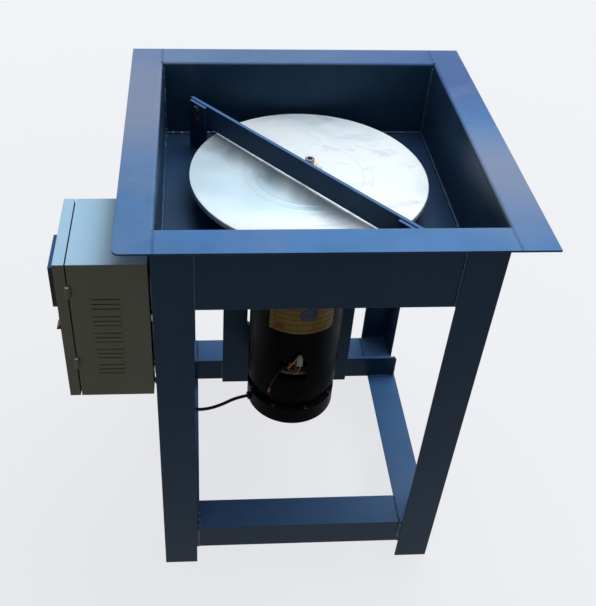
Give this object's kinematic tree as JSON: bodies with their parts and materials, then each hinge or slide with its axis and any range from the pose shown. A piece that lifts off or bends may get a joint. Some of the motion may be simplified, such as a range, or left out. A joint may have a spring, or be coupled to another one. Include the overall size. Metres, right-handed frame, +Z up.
{
  "type": "pottery wheel",
  "caption": "Motor-driven flat turning wheel in a square sunken splash tray on an angle-iron stand, with a fence bar across it and a control box on its side.",
  "frame": {"origin": "on the floor, under the middle of the whole object's box", "axes": "+Z up, +X to the right of a person who stands at the front, +Y away from that person; the control box is on the -X side"},
  "size_m": [0.7034, 0.6, 0.8],
  "materials": {
    "frame_paint": "gloss",
    "zinc_steel": "zinc plated",
    "motor_black": "satin",
    "black_steel": "black oxide",
    "magnet": "ferrite",
    "insulator": "moulded",
    "carbon": "carbon",
    "label": "printed film",
    "bearing_steel": "ground",
    "black_rubber": "matte",
    "box_paint": "textured satin",
    "plated_sheet": "zinc plated",
    "circuit_board": "solder mask",
    "bare_aluminium": "extruded",
    "black_plastic": "moulded",
    "core_steel": "laminated",
    "copper": "copper",
    "hub_iron": "turned",
    "wheel_metal": "turned",
    "pale_steel": "turned",
    "yellow_zinc": "yellow zinc",
    "display_window": "tinted",
    "key_plastic": "moulded",
    "red_plastic": "moulded",
    "chrome_lock": "polished"
  },
  "bodies": {
    "frame": {"tray_floor": "frame_paint", "tray_side_left": "frame_paint", "tray_side_right": "frame_paint", "tray_side_front": "frame_paint", "tray_side_back": "frame_paint", "shaft_collar": "frame_paint", "leg_front_left": "frame_paint", "leg_front_right": "frame_paint", "leg_back_left": "frame_paint", "leg_back_right": "frame_paint", "rails_side": "frame_paint", "rails_end": "frame_paint", "motor_crossbar": "frame_paint", "motor_plate": "frame_paint", "bar_posts": "frame_paint", "fence_bar": "frame_paint", "motor_mount_bolts": "zinc_steel", "box_mount_bolts": "zinc_steel", "hinge_pins": "zinc_steel", "motor_yoke": "motor_black", "motor_top_bell": "motor_black", "motor_brush_bell": "motor_black", "motor_end_cap": "motor_black", "motor_feet": "motor_black", "motor_bolts": "black_steel", "bar_bolts": "black_steel", "field_magnets": "magnet", "brush_holders": "insulator", "brushes": "carbon", "motor_label": "label", "bearing_outer_rings": "bearing_steel", "bearing_balls": "bearing_steel", "motor_grommet": "black_rubber", "motor_cable": "black_rubber", "box_back_sheet": "box_paint", "box_side_hinge": "box_paint", "box_side_lock": "box_paint", "box_cover": "box_paint", "box_base": "box_paint", "box_lip": "box_paint", "control_plate": "plated_sheet", "control_board": "circuit_board", "heat_sink": "bare_aluminium", "terminal_block": "black_plastic", "cable_glands": "black_plastic"},
    "spindle": {"motor_shaft": "bearing_steel", "armature_core": "core_steel", "armature_winding": "copper", "commutator": "copper", "bearing_inner_rings": "bearing_steel", "wheel_hub": "hub_iron", "wheel_head": "wheel_metal", "clamp_boss": "pale_steel", "clamp_nut": "yellow_zinc", "clamp_screw": "black_steel"},
    "door": {"box_door": "box_paint", "door_gasket": "black_rubber", "panel_housing": "black_plastic", "panel_window": "display_window", "rocker_bezel": "black_plastic"},
    "rocker": {"rocker_switch": "red_plastic"},
    "lock": {"lock_cam": "chrome_lock"},
    "key_slower": {"key_slower": "key_plastic"},
    "key_start": {"key_start": "key_plastic"},
    "key_faster": {"key_faster": "key_plastic"}
  },
  "joints": [
    {"name": "wheel_spin", "type": "hinge", "parent": "frame", "child": "spindle", "pos_m": [0.05175, 0.028, 0.7], "axis": [0, 0, 1], "continuous": true},
    {"name": "door_hinge", "type": "hinge", "parent": "frame", "child": "door", "pos_m": [-0.31825, -0.256, 0.6125], "axis": [0, 0, 1], "range_deg": [0, 110]},
    {"name": "mains_switch", "type": "hinge", "parent": "door", "child": "rocker", "pos_m": [-0.33225, -0.2, 0.593], "axis": [0, 1, 0], "range_deg": [-24, 0]},
    {"name": "door_lock", "type": "hinge", "parent": "door", "child": "lock", "pos_m": [-0.32825, -0.124, 0.612], "axis": [1, 0, 0], "range_deg": [0, 90]},
    {"name": "key_slower_press", "type": "slide", "parent": "door", "child": "key_slower", "axis": [1, 0, 0], "range_m": [0, 0.0008], "stiffness_N_per_m": 400, "springref_m": -0.001},
    {"name": "key_start_press", "type": "slide", "parent": "door", "child": "key_start", "axis": [1, 0, 0], "range_m": [0, 0.0008], "stiffness_N_per_m": 400, "springref_m": -0.001},
    {"name": "key_faster_press", "type": "slide", "parent": "door", "child": "key_faster", "axis": [1, 0, 0], "range_m": [0, 0.0008], "stiffness_N_per_m": 400, "springref_m": -0.001}
  ]
}
